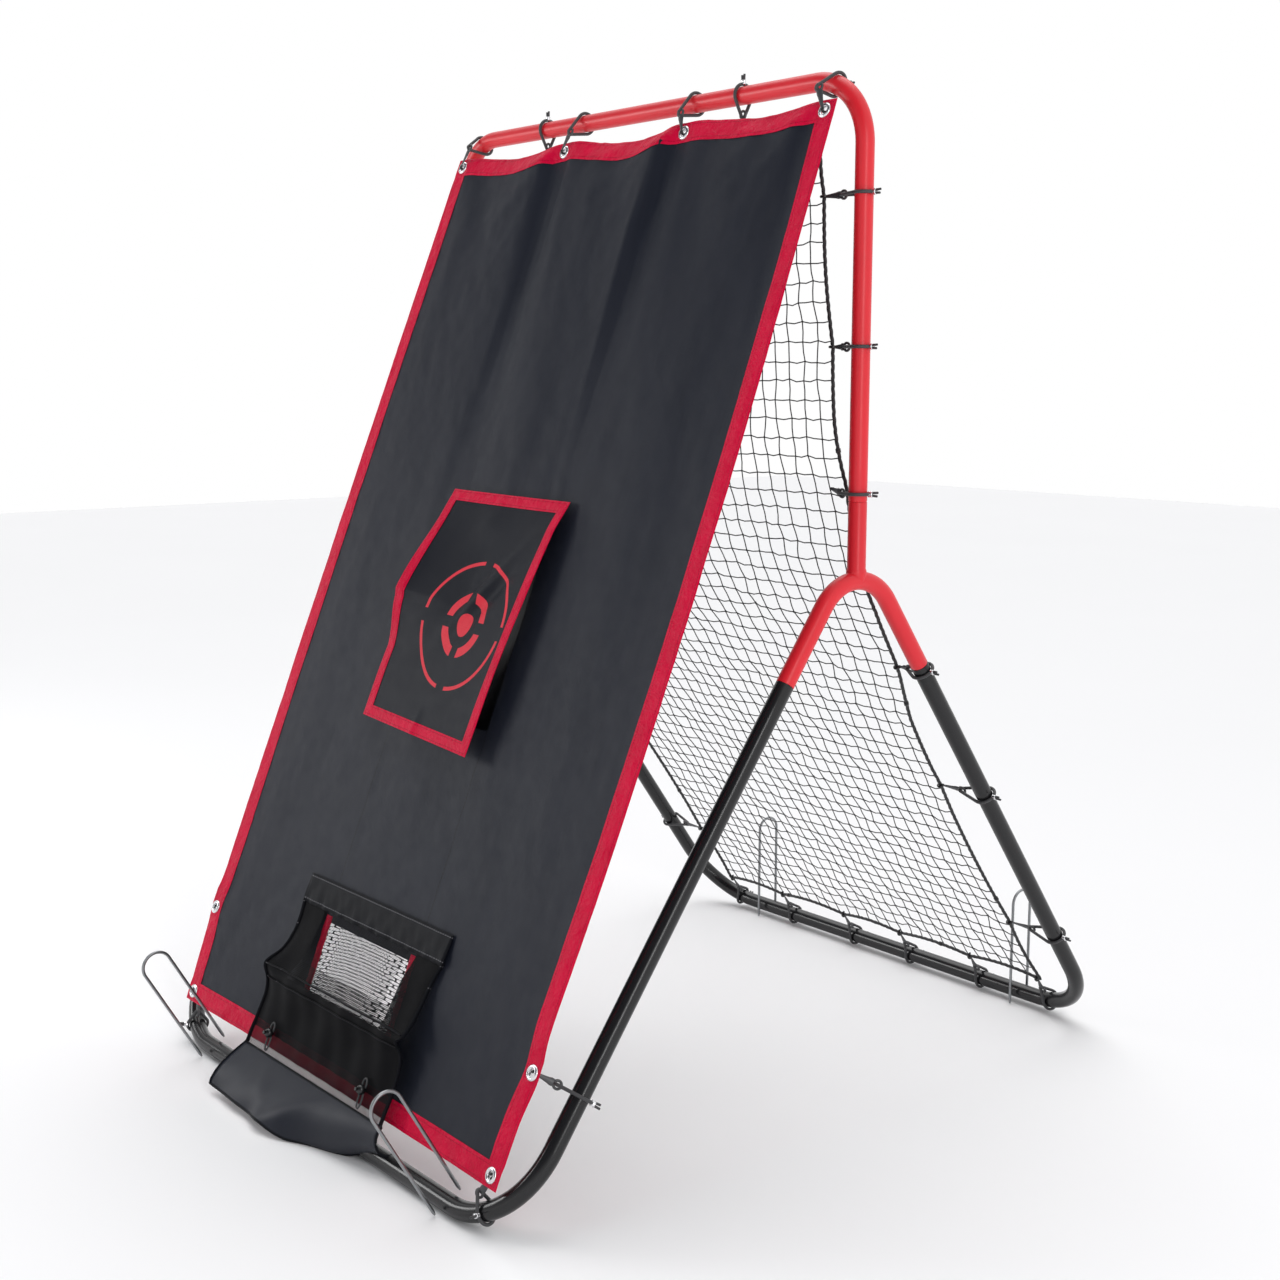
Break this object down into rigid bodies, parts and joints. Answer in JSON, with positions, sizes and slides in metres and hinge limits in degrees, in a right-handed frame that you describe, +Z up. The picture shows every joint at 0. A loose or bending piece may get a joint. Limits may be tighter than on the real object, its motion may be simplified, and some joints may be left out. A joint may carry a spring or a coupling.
{
  "type": "pitching target net",
  "caption": "Folding tube A-frame that holds a sloping target banner with a hinged strike flap and ball return in front, and a bungee-hung ball net behind.",
  "frame": {"origin": "On the floor, under the middle of the bounding box.", "axes": "+Z is up. -Y is the front, the side of the banner. +X is on the right of someone who stands in front and looks at the banner."},
  "size_m": [1.2466, 1.645, 1.8468],
  "materials": {
    "red_paint": "gloss",
    "black_paint": "satin",
    "charcoal_cloth": "satin woven polyester",
    "black_mesh": "matt mesh",
    "net_twine": "matt knotted twine",
    "grey_elastic": "braided",
    "bright_steel": "polished",
    "zinc_steel": "galvanised",
    "black_plastic": "gloss"
  },
  "bodies": {
    "frame": {"ball_chute": "black_mesh", "banner": "charcoal_cloth", "bungee_banner_corner_left": "grey_elastic", "bungee_banner_corner_right": "grey_elastic", "bungee_banner_side_left": "grey_elastic", "bungee_banner_side_right": "grey_elastic", "bungee_banner_top_1": "grey_elastic", "bungee_banner_top_2": "grey_elastic", "bungee_banner_top_3": "grey_elastic", "bungee_banner_top_4": "grey_elastic", "bungee_leg_left_1": "grey_elastic", "bungee_leg_left_2": "grey_elastic", "bungee_leg_left_3": "grey_elastic", "bungee_leg_right_1": "grey_elastic", "bungee_leg_right_2": "grey_elastic", "bungee_leg_right_3": "grey_elastic", "bungee_net_top_1": "grey_elastic", "bungee_net_top_2": "grey_elastic", "bungee_post_left_1": "grey_elastic", "bungee_post_left_2": "grey_elastic", "bungee_post_left_3": "grey_elastic", "bungee_post_right_1": "grey_elastic", "bungee_post_right_2": "grey_elastic", "bungee_post_right_3": "grey_elastic", "bungee_rear_rail_1": "grey_elastic", "bungee_rear_rail_2": "grey_elastic", "bungee_rear_rail_3": "grey_elastic", "bungee_rear_rail_4": "grey_elastic", "bungee_rear_rail_5": "grey_elastic", "bungee_rear_rail_6": "grey_elastic", "fork_left": "red_paint", "fork_right": "red_paint", "front_floor_hoop": "black_paint", "grommet_corner_left": "bright_steel", "grommet_corner_right": "bright_steel", "grommet_side_left": "bright_steel", "grommet_side_right": "bright_steel", "grommet_top_1": "bright_steel", "grommet_top_2": "bright_steel", "grommet_top_3": "bright_steel", "grommet_top_4": "bright_steel", "net": "net_twine", "net_border_rope": "net_twine", "rear_floor_hoop": "black_paint", "return_pocket": "black_mesh", "return_toggle_left": "black_plastic", "return_toggle_right": "black_plastic", "top_hoop": "red_paint"},
    "strike_panel": {"strike_panel": "charcoal_cloth"},
    "return_flap": {"return_flap": "charcoal_cloth"},
    "leg_button_front_left": {"leg_button_front_left": "bright_steel"},
    "leg_button_front_right": {"leg_button_front_right": "bright_steel"},
    "leg_button_rear_left": {"leg_button_rear_left": "bright_steel"},
    "leg_button_rear_right": {"leg_button_rear_right": "bright_steel"},
    "post_button_left": {"post_button_left": "bright_steel"},
    "post_button_right": {"post_button_right": "bright_steel"},
    "stake_front_left": {"stake_front_left": "zinc_steel"},
    "stake_front_right": {"stake_front_right": "zinc_steel"},
    "stake_rear_left": {"stake_rear_left": "zinc_steel"},
    "stake_rear_right": {"stake_rear_right": "zinc_steel"}
  },
  "joints": [
    {"name": "strike_panel_hinge", "type": "hinge", "parent": "frame", "child": "strike_panel", "pos_m": [0, -0.25601, 1.11829], "axis": [-1, 0, 0], "range_deg": [0, 75]},
    {"name": "return_flap_hinge", "type": "hinge", "parent": "frame", "child": "return_flap", "pos_m": [0, -0.70636, 0.08703], "axis": [-1, 0, 0], "range_deg": [0, 88]},
    {"name": "leg_button_front_left_slide", "type": "slide", "parent": "frame", "child": "leg_button_front_left", "axis": [-1, 0, 0], "range_m": [0, 0.005], "stiffness_N_per_m": 600, "springref_m": -0.003},
    {"name": "leg_button_front_right_slide", "type": "slide", "parent": "frame", "child": "leg_button_front_right", "axis": [1, 0, 0], "range_m": [0, 0.005], "stiffness_N_per_m": 600, "springref_m": -0.003},
    {"name": "leg_button_rear_left_slide", "type": "slide", "parent": "frame", "child": "leg_button_rear_left", "axis": [-1, 0, 0], "range_m": [0, 0.005], "stiffness_N_per_m": 600, "springref_m": -0.003},
    {"name": "leg_button_rear_right_slide", "type": "slide", "parent": "frame", "child": "leg_button_rear_right", "axis": [1, 0, 0], "range_m": [0, 0.005], "stiffness_N_per_m": 600, "springref_m": -0.003},
    {"name": "post_button_left_slide", "type": "slide", "parent": "frame", "child": "post_button_left", "axis": [0, -1, 0], "range_m": [0, 0.005], "stiffness_N_per_m": 600, "springref_m": -0.003},
    {"name": "post_button_right_slide", "type": "slide", "parent": "frame", "child": "post_button_right", "axis": [0, -1, 0], "range_m": [0, 0.005], "stiffness_N_per_m": 600, "springref_m": -0.003},
    {"name": "stake_front_left_slide", "type": "slide", "parent": "frame", "child": "stake_front_left", "axis": [0, -0.5, 0.866], "range_m": [-0.19, 0]},
    {"name": "stake_front_right_slide", "type": "slide", "parent": "frame", "child": "stake_front_right", "axis": [0, -0.5, 0.866], "range_m": [-0.19, 0]},
    {"name": "stake_rear_left_slide", "type": "slide", "parent": "frame", "child": "stake_rear_left", "axis": [0, 0, 1], "range_m": [-0.2, 0]},
    {"name": "stake_rear_right_slide", "type": "slide", "parent": "frame", "child": "stake_rear_right", "axis": [0, 0, 1], "range_m": [-0.2, 0]}
  ]
}
